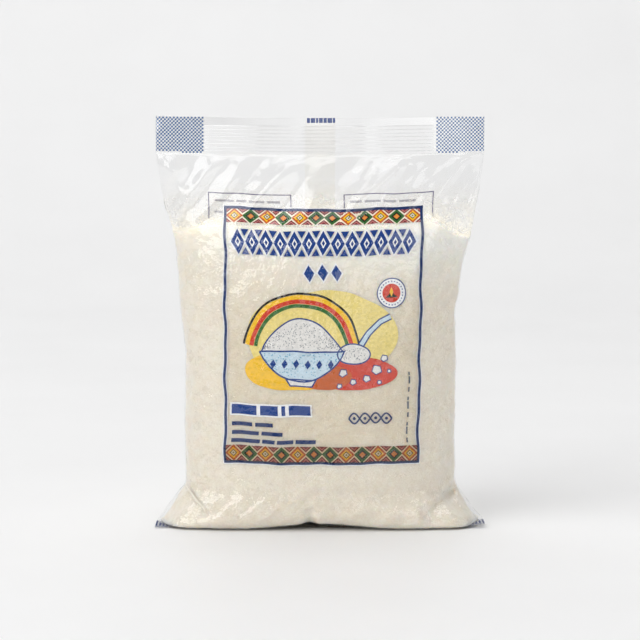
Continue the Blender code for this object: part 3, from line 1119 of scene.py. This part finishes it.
def draw_label():
    """The front: two patterned strips, a heading, an illustration, a roundel and bars, in a frame."""
    sheet = Sheet()
    left, right, bottom, top = LABEL_LEFT, LABEL_RIGHT, LABEL_BOTTOM, LABEL_TOP
    frame_line = [(left, bottom), (right, bottom), (right, top), (left, top)]
    sheet.box("tint", 0, left, bottom, right, top)
    sheet.line("white", 0, frame_line, 2.3, closed=True)
    sheet.line("navy", 6, frame_line, 1.4, closed=True)
    draw_strip(sheet, bottom + 0.5, bottom + 8.6)
    draw_strip(sheet, top - 7.3, top - 0.5)
    # Painted shade: a clear darkening laid over the lower strip, which stands in for the shade of the sugar
    # behind it.
    sheet.box("shade", 7.5, left, bottom, right, bottom + 8.6)
    draw_heading(sheet)
    for x in (-5.4, 1.7, 8.8):
        sheet.lozenge("white", 1, x, 133.2, 3.6, 5.4)
        sheet.lozenge("blue", 3, x, 133.2, 2.7, 4.2)
    draw_illustration(sheet)
    draw_roundel(sheet)
    draw_bars(sheet, "white", 1, -46.2, 63.0, 6.6, (43.2,), 0)
    draw_bars(sheet, "blue", 3, -45.4, 63.0, 5.0, (13.2, 9.4, 2.0, 11.4), 1.9)
    draw_bars(sheet, "navy", 3, -45.4, 55.5, 2.0, (10.5, 9.2), 1.6)
    draw_bars(sheet, "navy", 3, -45.4, 51.0, 2.0, (14.0, 11.0), 1.4)
    draw_bars(sheet, "navy", 3, -45.4, 46.8, 2.0, (15.0, 6.5, 8.5, 10.5), 1.2)
    for k in range(9):
        z = 46.0 + 4.3 * k
        sheet.box("slate", 3, 46.4, z, 47.2, z + (2.448, 3.744, 1.728)[k % 3])
    for way in (-1, 1):
        wave = [(16.0 + 0.4 * k, 59.0 + way * 2.6 * math.sin(math.pi * k / 14)) for k in range(57)]
        sheet.line("navy", 3, wave, BRAID_WIDTH)
    for k in range(4):
        sheet.disc("navy", 3, 18.8 + 5.6 * k, 59.0, 0.8, points=12)
    return sheet


def draw_back():
    """Two outlined panels with lines of plain bars."""
    sheet = Sheet()
    rng = np.random.default_rng(17)
    for left, right, top in ((-58.0, -15.5, 169.2), (12.5, 59.0, 169.8)):
        panel = [(left, 62.0), (right, 62.0), (right, top), (left, top)]
        sheet.line("violet", 3, panel, 0.55, closed=True)
        for k in range(17):
            z = top - 4.0 - 6.0 * k
            lengths = rng.uniform(4, 11, 3 if k % 4 else 4)
            lengths *= (right - left - 7) / (lengths.sum() + 1.5 * len(lengths))
            draw_bars(sheet, "grey", 3, left + 3, z, 1.2, lengths, 1.4)
    return sheet


def draw_checks(sheet, ink, reach, bottom, top):
    """A finely checkered block at both ends of a seal, out to x = reach."""
    for left in (-reach, reach - CHECKED_WIDTH):
        for i in range(int(CHECKED_WIDTH / CHECK)):
            for j in range(int((top - bottom) / CHECK)):
                if (i + j) % 2:
                    sheet.speckle(ink, 1, left + i * CHECK, bottom + j * CHECK, CHECK * CHECK_SHARE)


INKS = {
    "blue": (14, 62, 138), "navy": (16, 48, 104), "check_blue": (0, 92, 156), "white": (250, 250, 250),
    "ivory": (252, 242, 224), "maroon": (126, 40, 50), "rose": (206, 130, 126), "orange": (204, 94, 20),
    "yellow": (252, 200, 44), "olive": (120, 118, 36), "green": (54, 112, 50), "dark_green": (14, 34, 18),
    "apricot": (236, 150, 62), "pale_yellow": (244, 224, 138), "red": (216, 62, 36), "black": (30, 28, 26),
    "sugar_white": (236, 234, 230), "ice": (206, 226, 238), "sky": (110, 176, 206), "slate": (96, 104, 118),
    "violet": (128, 124, 154), "grey": (186, 186, 198),
}


def add_print(tree, middle):
    inks = {name: ink_material(f"ink_{name}", colour) for name, colour in INKS.items()}
    inks["tint"] = tint_material("ink_tint", (249, 247, 243), 0.095, 0.140)
    # ink_shade is painted shade, not ink: it darkens the lower strip as if it lay in shade.
    inks["shade"] = tint_material("ink_shade", (226, 216, 198), 0.2, 0.3)
    draw_label().lay("label", on_film(tree, -1), inks)
    draw_back().lay("back_print", on_film(tree, 1, 0.6), inks)
    low, high = (CAD_HIGH.z - SEAL_HEIGHT) / MM, CAD_HIGH.z / MM
    for side, name in ((-1, "front"), (1, "back")):
        sheet = Sheet()
        draw_checks(sheet, "check_blue", TOP_CHECKS_REACH, low, high - 0.1)
        draw_bars(sheet, "blue", 1, -6.7, high - 2.35, 2.5, (1.6, 2.3, 1.2, 2.0, 1.7, 2.4, 1.2), 0.35)
        sheet.lay(f"seal_{name}", on_seal(middle, side), inks, cut=1.1)
    sheet = Sheet()
    draw_checks(sheet, "navy", FOLDED_CHECKS_REACH, 0.2, SEAL_HEIGHT / MM - 0.1)
    sheet.lay("bottom_seal", on_folded_seal, inks, cut=0.95)


# ---- Stage ----

CAMERA_DISTANCE = 1.6
CAMERA_ELEVATION = 7
VIEW_WIDTH = 0.333  # across the picture at the bag
AIM_HEIGHT = 0.1056
LAMP_AIM = 0.1  # the height that the lamps face
# Square softboxes that face the bag: azimuth (0 in front of it, 90 on its right), elevation, distance,
# size and watts
LAMPS = {
    "key": (-50, 35, 3.2, 2.6, 62),
    "top": (176, 82, 3.0, 2.3, 37),
    "high": (-24, 68, 3.0, 1.0, 5),
    "front": (20, 6, 3.0, 2.0, 19),
    "side": (88, 6, 3.0, 1.6, 11),
    "right": (60, 30, 3.0, 0.8, 4.5),
}
WORLD_LIGHT, WORLD_SEEN = 0.20, 1.0  # the world's strength as a light, and to the camera


def aim(thing, height, azimuth, elevation, distance):
    """Places a camera or lamp so that it faces the bag's middle line at a height."""
    a, e = math.radians(azimuth), math.radians(elevation)
    away = Vector((math.sin(a) * math.cos(e), -math.cos(a) * math.cos(e), math.sin(e)))
    thing.location = Vector((0, 0, height)) + away * distance
    thing.rotation_euler = (-away).to_track_quat("-Z", "Y").to_euler()


def add_camera():
    data = bpy.data.cameras.new("camera")
    data.sensor_width = 36
    data.lens = data.sensor_width * CAMERA_DISTANCE / VIEW_WIDTH
    camera = link("camera", data)
    aim(camera, AIM_HEIGHT, 0, CAMERA_ELEVATION, CAMERA_DISTANCE)
    bpy.context.scene.camera = camera


def add_lamps():
    for name, (azimuth, elevation, distance, size, watts) in LAMPS.items():
        data = bpy.data.lights.new(name, "AREA")
        data.shape, data.size, data.energy = "SQUARE", size, watts
        aim(link(name, data), LAMP_AIM, azimuth, elevation, distance)


def add_floor():
    """A pale floor that curves up into a backdrop."""
    n = Nodes("stage_paper")
    paper = n.mixed(n.mapped(n.noise(8, 2), 0.3, 0.7, 0.86, 0.88), (0, 0, 0, 1), (1, 1, 1, 1))
    n.done(n.principled(paper, 0.5, 0.4))
    turns = [math.radians(90 * k / 16) for k in range(17)]
    profile = [(-3.0, 0.0), (0.9, 0.0)]
    profile += [(0.9 + 0.8 * math.sin(t), 0.8 - 0.8 * math.cos(t)) for t in turns] + [(1.7, 4.0)]
    places = [(x, y, z) for y, z in profile for x in (-4.0, 4.0)]
    faces = [(2 * k, 2 * k + 1, 2 * k + 3, 2 * k + 2) for k in range(len(profile) - 1)]
    meshed("stage_floor", places, faces, n.owner)


def add_world():
    n = Nodes("world", "World")
    strength = n.by_ray("Camera", WORLD_LIGHT, WORLD_SEEN)
    grey = n.add("ShaderNodeBackground", {"Color": (0.76, 0.76, 0.765, 1), "Strength": strength})
    bpy.context.scene.world = n.done(grey)
    bpy.context.scene.view_settings.view_transform = "Standard"


# ---- All of it ----


def main():
    add_camera()
    add_floor()
    add_lamps()
    add_world()
    film, plump, middle = film_grid()
    rows, seal_row = len(film), len(plump)
    clear = film_material("clear_film", 0.985, 0.012)
    pressed = film_material("pressed_film", 0.99, 0.04, roughness=0.2, gain=1.5)
    faces = np.concatenate([grid_faces(rows, COLUMNS), lid_faces((rows - 1) * COLUMNS)])
    skin = piece("film", film.reshape(-1, 3), faces, clear, pressed)
    in_seal = (np.arange(len(faces)) >= (seal_row - 1) * COLUMNS).astype(np.int32)
    skin.data.polygons.foreach_set("material_index", in_seal)
    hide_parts(NODE)
    tree = surface_tree(film)
    add_seam(tree, film_material("seam_film", 0.985, 0.03, (254, 253, 250)))
    add_corner_fold(tree, ink_material("fold_white", (250, 244, 230), 0.95))
    add_folded_seal(pressed)
    sugar = sugar_material("sugar", linear(249, 243, 230), linear(228, 217, 198))
    lid = add_sugar(plump, seal_row, sugar)
    add_grains(film, seal_row, lid, crystal_material("crystals", (253, 250, 242)))
    add_print(tree, middle)


main()
